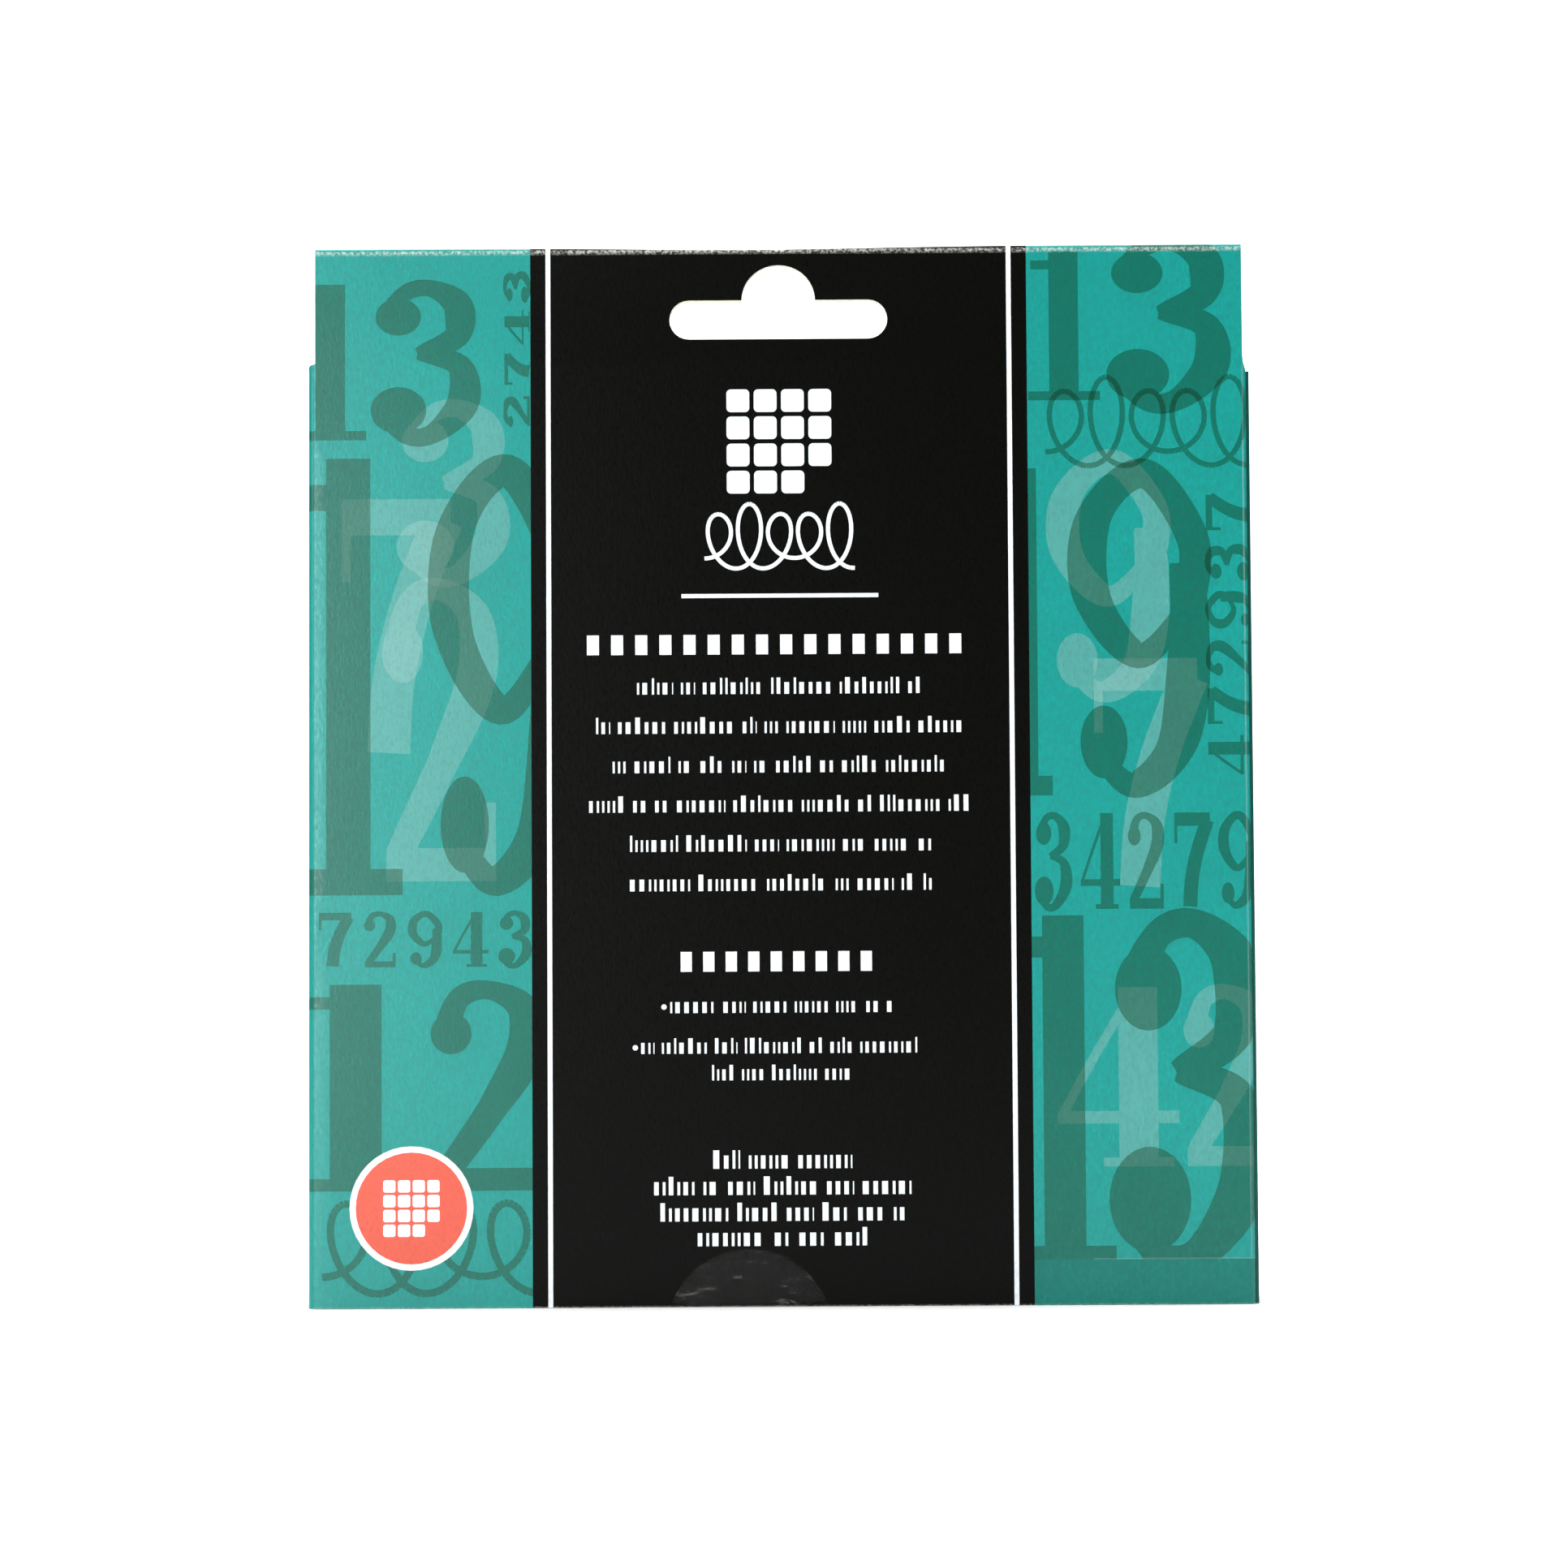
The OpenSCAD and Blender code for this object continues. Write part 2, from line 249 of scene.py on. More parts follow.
def numeral_run(digits, x0, z0, width, height, gap):
    parts = []
    for i, digit in enumerate(digits):
        x = x0 + i * (width + gap)
        parts += numeral(digit, x, z0, x + width, z0 + height)
    return parts


def upright_run(digits, x0, z0, across, tall, gap):
    """Numerals one above another, each lying on its side."""
    run = numeral_run(digits, x0, z0, tall, across, gap)
    return turned([[(px + across, pz) for px, pz in loop] for loop in run], x0 + across, z0)


LOOP_STEPS = 32


def flourish(x0, z0, x1, height, turns, weight):
    """A looping pen flourish."""
    points = []
    for i in range(turns * LOOP_STEPS + 1):
        t = i / LOOP_STEPS
        a = 2 * math.pi * t
        x = x0 + (x1 - x0) * t / turns + 0.34 * height * math.sin(a)
        swing = math.cos(a) * (1 - 0.25 * math.cos(a / 3))
        points.append((x, z0 + height / 2 - height / 2 * swing))
    line = [np.array(p) for p in points]
    return [stroke([a, b], weight, weight, False) for a, b in zip(line, line[1:])]


def greeked(width, z0, tall, weight, centre=0):
    """A line of plain dashes in word lengths, standing for small print."""
    parts, x, end = [], centre - width / 2, centre + width / 2
    while x < end - 0.4:
        stop = min(x + random.choice((2.4, 4, 6, 8, 10)) * tall / 1.9, end)
        while x < stop - 0.2:
            dash = min(random.choice((0.3, 0.5, 0.66)) * tall, stop - x)
            rise = random.choice((0, 0, 0, 0, 0.4)) * tall
            parts.append(rect(x, z0, x + dash * weight, z0 + tall + rise))
            x += dash + 0.16 * tall
        x = stop + tall * 0.62
    return parts


def heading_marks(width, z0, tall, count):
    """A heading as evenly spaced upright bars."""
    step = width / count
    lefts = [-width / 2 + i * step for i in range(count)]
    return [rect(x, z0, x + step * 0.5, z0 + tall) for x in lefts]


# ---- The print ----


def srgb(r, g, b):
    def channel(c):
        c = c / 255
        return c / 12.92 if c <= 0.04045 else ((c + 0.055) / 1.055) ** 2.4

    return tuple(channel(c) for c in (r, g, b))


TEAL = srgb(20, 146, 138)
STRIP = srgb(2, 118, 107)
# A deeper teal for the walls and front: painted shade.
SHADED_WALL_TEAL = srgb(10, 126, 115)
BLACK = srgb(9, 10, 8)
WHITE = srgb(236, 243, 248)
CORAL = srgb(226, 92, 72)


def darker(colour):
    return tuple(c * k for c, k in zip(colour, (0.40, 0.50, 0.41)))


def lighter(colour):
    return tuple(c + (1 - c) * 0.07 for c in colour)


def painted(paint):
    return lambda colour: paint


def side_art(shift):
    """The overlapping numerals to the left and right of the black band."""
    light = [
        numeral("2", -60, 62, -40, 106),
        numeral("3", -57, 106, -38, 132),
        numeral("7", -66, 80, -47, 118),
        numeral("9", 38, 88, 58, 124),
        numeral("4", 39, 20, 58, 46),
        numeral("2", 57, 20, 72, 46),
        numeral("7", 44, 60, 62, 94),
    ]
    dark = [
        numeral("3", -60.8, 126.7, -42.2, 149.7),
        numeral("1", -72, 126.7, -60, 149.7),
        upright_run("2743", -40.2, 128, 3.7, 5.5, 0.7),
        numeral("1", -72.5, 60, -54.5, 124),
        numeral("9", -52.5, 60, -29, 124),
        numeral_run("72943", -68, 49.5, 5.6, 8, 1),
        numeral("1", -73, 17, -52, 47),
        numeral("2", -53, 17, -33, 47),
        flourish(-67, 3, -36, 13, 4, 1.1),
        numeral("1", 35.6, 132, 47.6, 154),
        numeral("3", 47, 131, 68, 156),
        flourish(39, 123, 69, 11, 5, 0.8),
        numeral("9", 41, 74, 64, 122.6),
        numeral("1", 32, 74, 40, 122),
        upright_run("472937", 62.4, 76.6, 6.8, 6.2, 0.9),
        numeral_run("34279", 36.6, 57.4, 6.2, 14, 0.5),
        numeral("1", 32.2, 5.5, 49, 56.5),
        numeral("3", 46, 5.5, 73, 56.5),
    ]

    def moved(parts):
        return [[(x + shift, z) for x, z in loop] for loop in parts]

    return [(moved(p), lighter) for p in light] + [(moved(p), darker) for p in dark]


def wall_art(middle):
    """Numerals down one side wall."""
    return [(upright_run("3724972", middle - 5, 8, 9, 12, 5), darker)]


def band_art(shift):
    """The black band and its two white pinstripes, run past both ends of the board."""
    low, high = -5, 190
    band = [rect(shift - BAND, low, shift + BAND, high)]
    middles = (shift - PIN_X, shift + PIN_X)
    lines = [rect(x - PIN_W / 2, low, x + PIN_W / 2, high) for x in middles]
    return [(band, painted(BLACK)), (lines, painted(WHITE))]


def tile_sign(x, z, size):
    """Four rows of four small tiles with one left out."""
    step = size / 4
    parts = []
    for row in range(4):
        for column in range(4):
            if row == 3 and column == 3:
                continue
            x0 = x - size / 2 + (column + 0.08) * step
            z0 = z + size / 2 - (row + 0.92) * step
            parts.append(round_rect(x0, z0, x0 + step * 0.84, z0 + step * 0.84, step * 0.16))
    return parts


def roundel(x, z, r):
    """A coral disc with a white rim and the tile sign."""
    return [
        ([circle(x, z, r)], painted(WHITE)),
        ([circle(x, z, r * 0.9)], painted(CORAL)),
        (tile_sign(x, z, r * 0.95), painted(WHITE)),
    ]


# Width, height above the base, mark height and count of each heading; then width and height of each line.
HEADINGS = ((56.5, 94.9, 2.9, 16), (29.5, 48.6, 2.9, 9))
BODY_WIDTHS = (41.9, 53.9, 49.1, 56, 44.1, 44.2)
BODY_TOP, BODY_STEP = 89.1, 5.75
NOTES = ((32.6, 42.6), (41.1, 36.7), (20.5, 32.8))
ADDRESS = ((20.3, 20), (37.5, 16.2), (35.7, 12.4), (24.9, 8.8))


def back_print():
    white = tile_sign(0, 126.2, 16) + flourish(-11, 108, 11, 8, 5, 0.6)
    white.append(rect(-14.4, 103.2, 14.4, 103.8))
    for width, z, tall, count in HEADINGS:
        white += heading_marks(width, z, tall, count)
    for i, width in enumerate(BODY_WIDTHS):
        white += greeked(width, BODY_TOP - i * BODY_STEP, 1.7, 0.62)
    for width, z in NOTES:
        white += greeked(width, z, 1.6, 0.62)
    for x, z in ((-16.2, 43.5), (-20.4, 37.6)):
        white.append(circle(x - 1, z, 0.4, steps=12))
    for width, z in ADDRESS:
        white += greeked(width, z, 1.9, 0.7)
    return [(white, painted(WHITE))]


def front_print():
    white = greeked(30, 124, 3, 0.8, FRONT_U) + tile_sign(FRONT_U, 7.2, 8)
    return [(white, painted(WHITE))]


# ---- The folded board ----

seam_r = FOLD - 0.05
seam_line = seam_high.y - seam_low.y
steps_round = [
    ("line", seam_line + 0.05),
    ("turn", seam_r),
    ("line", seam_high.x - seam_r + back_high.x),
    ("turn", FOLD),
    ("line", 2 * (HALF_D - FOLD)),
    ("turn", FOLD),
    ("line", 2 * back_high.x),
    ("turn", FOLD),
    ("line", 2 * (HALF_D - FOLD) + 0.25),
]
knots = []
at, heading, run = Vector((seam_high.x, seam_high.y)), -math.pi / 2, 0.0
for kind, size in steps_round:
    knots.append((run, kind, size, at.copy(), heading))
    if kind == "line":
        at += Vector((math.cos(heading), math.sin(heading))) * size
        run += size
    else:
        right = Vector((math.sin(heading), -math.cos(heading))) * size
        at = at + right + Vector((math.cos(heading), math.sin(heading))) * size
        heading -= math.pi / 2
        run += size * math.pi / 2
sheet_end = run
# The measure along the sheet is the X of the back, so the start of the seam flap lies this far along.
U_START = knots[2][3].x + knots[2][0]
PLY_R = BOARD
TURN_V = HEADER_TOP - PLY_R
TURN_L = math.pi * PLY_R


def wrap(u, v):
    """Where a point of the flat sheet lies on the folded carton."""
    s = min(max(U_START - u, 0.0), sheet_end)
    k = [i for i, knot in enumerate(knots) if knot[0] <= s + 1e-9][-1]
    begin, kind, size, p, h = knots[k]
    d = s - begin
    if kind == "line":
        x, y = p + Vector((math.cos(h), math.sin(h))) * d
    else:
        turn = d / size
        centre = p + Vector((math.sin(h), -math.cos(h))) * size
        rim = Vector((-math.sin(h), math.cos(h))) * size
        x = centre.x + rim.x * math.cos(turn) + rim.y * math.sin(turn)
        y = centre.y - rim.x * math.sin(turn) + rim.y * math.cos(turn)
    # Above the walls the board opens out flat into the header.
    flat = min(max((v - WALL_TOP - 0.2) / 2.2, 0.0), 1.0)
    flat = flat * flat * (3 - 2 * flat)
    if abs(u) < 72 and v > WALL_TOP:
        x = x * (1 - flat) + u * flat
        y = y * (1 - flat) - HALF_D * flat
        dip = math.exp(-(((u + 4) / 24) ** 2)) * min(max((v - 146) / 9, 0), 1)
        y += BOW * math.sin((v - 138) / 17 * math.pi) * math.cos(u / 40) * flat
        if v <= TURN_V:
            return x, y, v - SAG * dip
        if v <= TURN_V + TURN_L:
            a = (v - TURN_V) / PLY_R
            return x, y + PLY_R - PLY_R * math.cos(a), TURN_V + PLY_R * math.sin(a) - SAG * dip
        down = v - TURN_V - TURN_L
        return x, y + 2 * PLY_R, TURN_V - down - SAG * dip
    return x, y, v


PLY_END = TURN_V + TURN_L + TURN_V - (ply_low.z + 0.05)
# Measures along the sheet at which its runs and folds begin, and its two ends.
_, seam_u, _, _, side_u, side_end_u, front_u0, front_u1, last_u = (U_START - knot[0] for knot in knots)
END_U = U_START - sheet_end
FRONT_U = round((front_u0 + front_u1) / 2, 3)

notch = arc(FRONT_U, FRONT_TOP, NOTCH_R, NOTCH_R, 0, -180, -10)
seam_edge = [
    (seam_u, BASE), (seam_u + 0.1, seam_low.z), (U_START - 0.8, seam_low.z), (U_START, seam_low.z + 3),
    (U_START, seam_high.z - 3), (U_START - 0.8, seam_high.z), (seam_u + 0.1, seam_high.z),
    (seam_u, WALL_TOP),
]
header_edge = [
    (68.5, WALL_TOP + 0.5), (68.1, WALL_TOP + 1.4), (HEADER_HALF, WALL_TOP + 2.6),
    (HEADER_HALF, TURN_V), (HEADER_HALF, TURN_V + TURN_L), (HEADER_HALF, PLY_END),
    (-HEADER_HALF, PLY_END), (-HEADER_HALF, TURN_V + TURN_L), (-HEADER_HALF, TURN_V),
    (-HEADER_HALF, WALL_TOP + 1.8), (-68.7, WALL_TOP + 1.6), (-69.1, WALL_TOP + 1.2),
    (-69.2, WALL_TOP + 0.3),
]
outline = [(END_U, BASE)] + seam_edge + header_edge
outline += [(side_u, WALL_TOP), (side_end_u, WALL_TOP)]
outline += [(front_u0, WALL_TOP + 0.1), (front_u0 - 0.3, FRONT_TOP)]
outline += notch
outline += [(front_u1 + 0.3, FRONT_TOP), (front_u1, WALL_TOP + 0.1), (last_u, WALL_TOP), (END_U, WALL_TOP)]


def slot_at(z, up):
    """The hanging slot as one outline, dome towards the fold."""
    r = SLOT_H / 2
    x = SLOT_W / 2 - r
    points = arc(-x, 0, r, r, 90, 270, 15) + arc(x, 0, r, r, -90, 90, 15)
    points += arc(0, r, DOME_R, DOME_R, 0, 180, 10)
    return [(px, z + up * pz) for px, pz in points]


slot_back = slot_at(SLOT_Z, 1)
slot_front = slot_at(2 * TURN_V + TURN_L - SLOT_Z, -1)
WINDOW_HALF = WINDOW / 2
window = round_rect(
    FRONT_U - WINDOW_HALF, PUZZLE_Z - WINDOW_HALF, FRONT_U + WINDOW_HALF, PUZZLE_Z + WINDOW_HALF, WINDOW_R
)

# The inks in the order that they go on, each as its shapes and its paint.
foot_strip = [rect(BAND, -5, 69, FOOT_STRIP_H)]
# A pale line along the top of the foot strip, and a painted highlight up the back's right fold.
foot_line_and_fold_highlight = [rect(45, FOOT_STRIP_H, 69.5, 6.78), rect(67.8, 6.9, 68.05, 126)]
layers = side_art(0) + [(foot_strip, painted(STRIP)), (foot_line_and_fold_highlight, lighter)]
layers += side_art(FRONT_U) + wall_art(-76.5) + wall_art(-229.8)
layers += band_art(0) + band_art(FRONT_U) + back_print() + front_print()
layers += roundel(-54, 14.5, 9) + roundel(FRONT_U - 54, 7, 5)


# The back and header end here; the walls and the front carry the slightly deeper teal, painted shade for the
# side walls, which stand in shade.
BACK_END_U = -70


def flat_mesh(sheet, holes, prints, fold_us, fold_vs):
    """Splits the flat sheet along its outline, folds and print; gives points, faces and face colours."""
    verts, edges, faces, owner = [], [], [], []

    def add_loop(loop, key):
        start = len(verts)
        verts.extend(Vector(p) for p in facing_left(loop))
        faces.append(list(range(start, len(verts))))
        owner.append(key)

    add_loop(sheet, "sheet")
    for hole in holes:
        add_loop(hole, "hole")
    for i, (parts, _) in enumerate(prints):
        for loop in parts:
            add_loop(loop, i)
    us = [p[0] for p in sheet]
    vs = [p[1] for p in sheet]
    lines = [((u, min(vs)), (u, max(vs))) for u in fold_us]
    lines += [((min(us), v), (max(us), v)) for v in fold_vs]
    for line in lines:
        edges.append((len(verts), len(verts) + 1))
        verts.extend(Vector(p) for p in line)
    points, _, tris, _, _, sources = delaunay_2d_cdt(verts, edges, faces, 0, 1e-4, True)
    kept, colours = [], []
    for tri, ids in zip(tris, sources):
        keys = [owner[i] for i in ids]
        if "sheet" not in keys or "hole" in keys:
            continue
        middle = sum(points[i].x for i in tri) / 3
        colour = SHADED_WALL_TEAL if middle < BACK_END_U else TEAL
        for i in sorted({key for key in keys if key != "sheet"}):
            colour = prints[i][1](colour)
        kept.append(list(tri))
        colours.append(colour)
    used = sorted({i for tri in kept for i in tri})
    place = {old: new for new, old in enumerate(used)}
    return [points[i] for i in used], [[place[i] for i in tri] for tri in kept], colours


def new_object(name, points, faces, materials):
    mesh = bpy.data.meshes.new(name)
    mesh.from_pydata([tuple(c * MM for c in p) for p in points], [], faces)
    mesh.validate()
    mesh.update()
    for material in materials:
        mesh.materials.append(material)
    obj = bpy.data.objects.new(name, mesh)
    bpy.context.scene.collection.objects.link(obj)
    return obj


def freeze(obj):
    """Turns the modifiers of a piece into plain mesh."""
    graph = bpy.context.evaluated_depsgraph_get()
    mesh = bpy.data.meshes.new_from_object(obj.evaluated_get(graph))
    obj.modifiers.clear()
    obj.data = mesh
    return obj


# ---- Materials ----


class Finish:
    """One node material, with short ways to add its nodes."""

    def __init__(self, name):
        self.material = bpy.data.materials.new(name)
        self.material.use_nodes = True
        self.tree = self.material.node_tree
        self.shader = self.tree.nodes["Principled BSDF"]

    def node(self, kind, settings=(), **sockets):
        made = self.tree.nodes.new(kind)
        for key, value in dict(settings).items():
            setattr(made, key, value)
        for key, value in sockets.items():
            socket = made.inputs[key.replace("_", " ")]
            if isinstance(value, bpy.types.NodeSocket):
                self.tree.links.new(value, socket)
            else:
                socket.default_value = value
        return made

    def link(self, source, target):
        self.tree.links.new(source, self.shader.inputs[target])

    def set(self, **values):
        for key, value in values.items():
            self.shader.inputs[key.replace("_", " ")].default_value = value

    def place(self, sx=1, sy=1, sz=1):
        where = self.node("ShaderNodeTexCoord").outputs["Object"]
        return self.node("ShaderNodeMapping", Vector=where, Scale=(sx, sy, sz)).outputs["Vector"]

    def noise(self, scale, stretch=(1, 1, 1), detail=4.0, roughness=0.55):
        where = self.place(*stretch)
        made = self.node("ShaderNodeTexNoise", Vector=where, Scale=scale, Detail=detail, Roughness=roughness)
        return made.outputs["Fac"]

    def spread(self, value, low, high, to_low=0.0, to_high=1.0):
        made = self.node("ShaderNodeMapRange", Value=value)
        for i, limit in enumerate((low, high, to_low, to_high)):
            made.inputs[i + 1].default_value = limit
        return made.outputs["Result"]

    def mix(self, factor, a, b):
        made = self.tree.nodes.new("ShaderNodeMix")
        made.data_type = "RGBA"
        for i, value in ((0, factor), (6, a), (7, b)):
            if isinstance(value, bpy.types.NodeSocket):
                self.tree.links.new(value, made.inputs[i])
            else:
                made.inputs[i].default_value = value if i == 0 else tuple(value) + (1,)
        return made.outputs[2]

    def combine(self, operation, a, b):
        made = self.node("ShaderNodeMath", {"operation": operation})
        self.tree.links.new(a, made.inputs[0])
        self.tree.links.new(b, made.inputs[1])
        return made.outputs[0]

    def bump(self, height, strength, distance):
        made = self.node("ShaderNodeBump", Height=height, Strength=strength, Distance=distance)
        self.link(made.outputs["Normal"], "Normal")


def plain_finish(name, colour, roughness, metallic=0.0, grain=(1, 1, 1), scale=900, vary=0.12, bump=0.1):
    """One colour with a fine grain in its shade, roughness and surface."""
    finish = Finish(name)
    grain_noise = finish.noise(scale, grain)
    shade = tuple(c * (1 - vary) for c in colour)
    finish.link(finish.mix(grain_noise, shade, colour), "Base Color")
    rough = finish.spread(grain_noise, 0.3, 0.7, roughness * 0.85, min(roughness * 1.15, 1))
    finish.link(rough, "Roughness")
    finish.bump(grain_noise, bump, 0.0001)
    finish.set(Metallic=metallic)
    return finish.material


def board_finish():
    """Satin coated board: print, fine fibre grain, pale wear at the foot, and a pale speckled band under the
    header's fold, part wear and part painted highlight.
    """
    finish = Finish("printed_board")
    ink = finish.node("ShaderNodeAttribute", {"attribute_name": "ink"}).outputs["Color"]
    fibre = finish.noise(2400, (1, 1, 0.45), 3.0, 0.6)
    mottle = finish.noise(45, (1, 1, 1), 3.0)
    scuff = finish.noise(2600, (1, 1, 1), 4.0, 0.6)
    grained = finish.mix(finish.spread(fibre, 0.35, 0.65, 0.04, 0.22), ink, (0, 0, 0))
    blended = finish.mix(finish.spread(mottle, 0.35, 0.65, 0.0, 0.06), grained, (0, 0, 0))

    height = finish.node("ShaderNodeSeparateXYZ", Vector=finish.place()).outputs["Z"]
    # A pale band just under the header's fold, part wear and part painted highlight of the fold; pale wear
    # along the foot.
    rising = finish.spread(height, (HEADER_TOP - 1.2) * MM, (HEADER_TOP - 0.7) * MM)
    past = finish.spread(height, (HEADER_TOP - 0.55) * MM, (HEADER_TOP - 0.3) * MM)
    fold_wear_and_highlight = finish.mix(past, rising, (0, 0, 0))
    rubbed = finish.spread(height, 0.0, 0.3 * MM, 0.7, 0.0)
    edge = finish.combine("MAXIMUM", fold_wear_and_highlight, rubbed)
    wear_and_highlight = finish.combine("MULTIPLY", edge, finish.spread(scuff, 0.42, 0.62, 0.05, 0.6))
    # The pale colour is wear, and on the fold also a painted highlight.
    finish.link(finish.mix(wear_and_highlight, blended, (0.72, 0.74, 0.68)), "Base Color")

    finish.link(finish.spread(fibre, 0.3, 0.7, 0.24, 0.36), "Roughness")
    # The black ink is duller than the teal and the white.
    green = finish.node("ShaderNodeSeparateColor", Color=ink).outputs["Green"]
    finish.link(finish.spread(green, 0.0, 0.08, 0.05, 0.3), "Specular IOR Level")
    finish.bump(fibre, 0.3, 0.00005)
    return finish.material


BRUSHED = (0.03, 1, 1)
bare_board = plain_finish("bare_board", (0.72, 0.69, 0.61), 0.82, grain=(1, 1, 0.3), scale=700, vary=0.1)
printed = board_finish()
finishes = {
    "bare_board": bare_board,
    "printed_board": plain_finish("teal_board", TEAL, 0.4, grain=(1, 1, 0.3), scale=700),
    "insert_card": plain_finish("insert_card", (0.018, 0.02, 0.019), 0.6, scale=700),
    "booklet_cover": plain_finish("booklet_cover", TEAL, 0.4, scale=600),
    "booklet_pages": plain_finish(
        "booklet_pages", (0.76, 0.75, 0.7), 0.85, grain=(0.1, 8, 0.1), scale=500, vary=0.3
    ),
    "staple_wire": plain_finish("staple_wire", (0.6, 0.6, 0.6), 0.25, 1.0),
    "back_plate": plain_finish("back_plate", (0.55, 0.56, 0.57), 0.5, 1.0, scale=1500),
    "tray_plastic": plain_finish("tray_plastic", (0.02, 0.021, 0.023), 0.55, scale=1200),
    "frame_metal": plain_finish("frame_metal", (0.26, 0.265, 0.27), 0.28, 1.0, BRUSHED, 2600, 0.22, 0.05),
    "screw_steel": plain_finish("screw_steel", (0.3, 0.3, 0.31), 0.35, 1.0),
    "carrier_plastic": plain_finish("carrier_plastic", (0.022, 0.023, 0.025), 0.5, scale=1100),
    "tile_metal": plain_finish("tile_metal", (0.32, 0.32, 0.315), 0.26, 1.0, BRUSHED, 2600, 0.18, 0.04),
    "numeral_enamel": plain_finish("numeral_enamel", (0.012, 0.013, 0.013), 0.35),
}


def seal_finish():
    """Clear gloss film with scuffs."""
    finish = Finish("clear_film")
    scuff = finish.noise(420, (0.5, 1, 1.8), 8.0, 0.8)
    finish.set(Base_Color=(0.75, 0.78, 0.74, 1), Roughness=0.16)
    finish.link(finish.spread(scuff, 0.58, 0.74, 0.006, 0.14), "Alpha")
    finish.bump(finish.noise(90, (1, 1, 1), 3.0), 0.25, 0.0001)
    return finish.material


# ---- The printed sleeve and header ----

fold_us = []
for begin, kind, size, _, _ in knots:
    fold_us.append(U_START - begin)
    if kind == "turn":
        fold_us += [U_START - begin - size * math.pi / 2 * k / FOLD_STEPS for k in range(1, FOLD_STEPS)]
fold_us += range(-64, 65, 8)
fold_vs = [WALL_TOP + 0.6 * k for k in range(5)] + list(range(140, 155, 2))
fold_vs += [TURN_V + TURN_L * k / FOLD_STEPS for k in range(FOLD_STEPS + 1)]
fold_vs += [TURN_V + TURN_L + 3 * k for k in range(1, 6)] + [FOOT_STRIP_H, 6.75]

points, faces, colours = flat_mesh(outline, [slot_back, slot_front, window], layers, fold_us, fold_vs)
sleeve = new_object("printed_carton", [wrap(p.x, p.y) for p in points], faces, [printed, bare_board])
ink = sleeve.data.attributes.new("ink", "FLOAT_COLOR", "CORNER")
corner_colours = np.ones((len(faces) * 3, 4), np.float32)
corner_colours[:, :3] = np.repeat(np.array(colours, np.float32), 3, axis=0)
ink.data.foreach_set("color", corner_colours.ravel())

solid = sleeve.modifiers.new("board", "SOLIDIFY")
solid.thickness = SKIN * MM
solid.offset = -1
solid.use_even_offset = True
solid.material_offset = 1
solid.material_offset_rim = 1
freeze(sleeve)
sleeve.data.set_sharp_from_angle(angle=math.radians(35))

# The raw edge beside the back's right fold is given a dark teal: painted shade for the gap at that corner.
RAW_EDGE_SHADE = (*(c * 0.4 for c in STRIP), 1)
inks = sleeve.data.attributes["ink"].data
for face in sleeve.data.polygons:
    beside_fold = face.center.x > (HALF_W - 0.5) * MM and face.center.y < -(HALF_D - 1) * MM
    if face.material_index == 1 and beside_fold:
        face.material_index = 0
        for corner in face.loop_indices:
            inks[corner].color = RAW_EDGE_SHADE
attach(sleeve, "carton")
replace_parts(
    sleeve, "back_panel", "front_panel", "left_side_panel", "right_side_panel",
    "seam_flap", "header_back_ply", "header_front_ply",
)


# ---- Pieces made from the part, with softened edges ----


def softened(node, body, slot, width):
    """A copy of a CAD node with its doubled points merged and its sharp edges rounded."""
    mesh = frame["nodes"][node].data.copy()
    bm = bmesh.new()
    bm.from_mesh(mesh)
    bmesh.ops.remove_doubles(bm, verts=bm.verts, dist=1e-6)
    bmesh.ops.dissolve_limit(bm, angle_limit=math.radians(1), verts=bm.verts, edges=bm.edges)
    sharp = [e for e in bm.edges if len(e.link_faces) == 2 and e.calc_face_angle() > math.radians(35)]
    bmesh.ops.bevel(
        bm, geom=sharp, offset=width * MM, offset_type="OFFSET", segments=2, profile=0.5,
        affect="EDGES", clamp_overlap=True, material=-1,
    )
    bmesh.ops.recalc_face_normals(bm, faces=bm.faces)
    bm.to_mesh(mesh)
    bm.free()
    mesh.materials.clear()
    mesh.materials.append(finishes[slot])
    mesh.shade_smooth()
    mesh.set_sharp_from_angle(angle=math.radians(40))
    piece = bpy.data.objects.new("soft_" + node, mesh)
    bpy.context.scene.collection.objects.link(piece)
    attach(piece, body)
    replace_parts(piece, node)


bodies = frame["record"]["behaviour"]["bodies"]
slots = {part["node"]: part["material_slot"] for part in frame["record"]["subparts"]}
# Width of the rounded edge on each kind of piece.
WIDTHS = {
    "printed_board": 0.08, "bare_board": 0.08, "insert_card": 0.08, "booklet_cover": 0.05,
    "booklet_pages": 0.05, "staple_wire": 0.03, "back_plate": 0.2, "tray_plastic": 0.2,
    "frame_metal": 0.35, "screw_steel": 0.12, "carrier_plastic": 0.15,
}
plates = {node for node, slot in slots.items() if slot == "tile_metal"}
made_whole = set(sleeve["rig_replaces"]) | {"clear_seal"} | plates
for body, members in bodies.items():
    for node in members:
        if node not in made_whole:
            softened(node, body, slots[node], WIDTHS[slots[node]])


# ---- Clear seal ----

seal_x = (seal_low.x + seal_high.x) / 2
seal_r = (seal_high.x - seal_low.x) / 2
seal_z = seal_high.z - seal_r
SEAL_BEND = 0.35
RINGS, SPOKES = 14, 72


def seal_wrap(x, w):
    """The film lies on the back, then turns under the base; it keeps just off the board."""
    if w >= SEAL_BEND:
        return x, seal_low.y, w
    turn = (SEAL_BEND - w) / SEAL_BEND
    if turn <= math.pi / 2:
        y = seal_low.y + SEAL_BEND - SEAL_BEND * math.cos(turn)
        return x, y, SEAL_BEND - SEAL_BEND * math.sin(turn)
    return x, seal_low.y + SEAL_BEND + (turn - math.pi / 2) * SEAL_BEND, 0.0


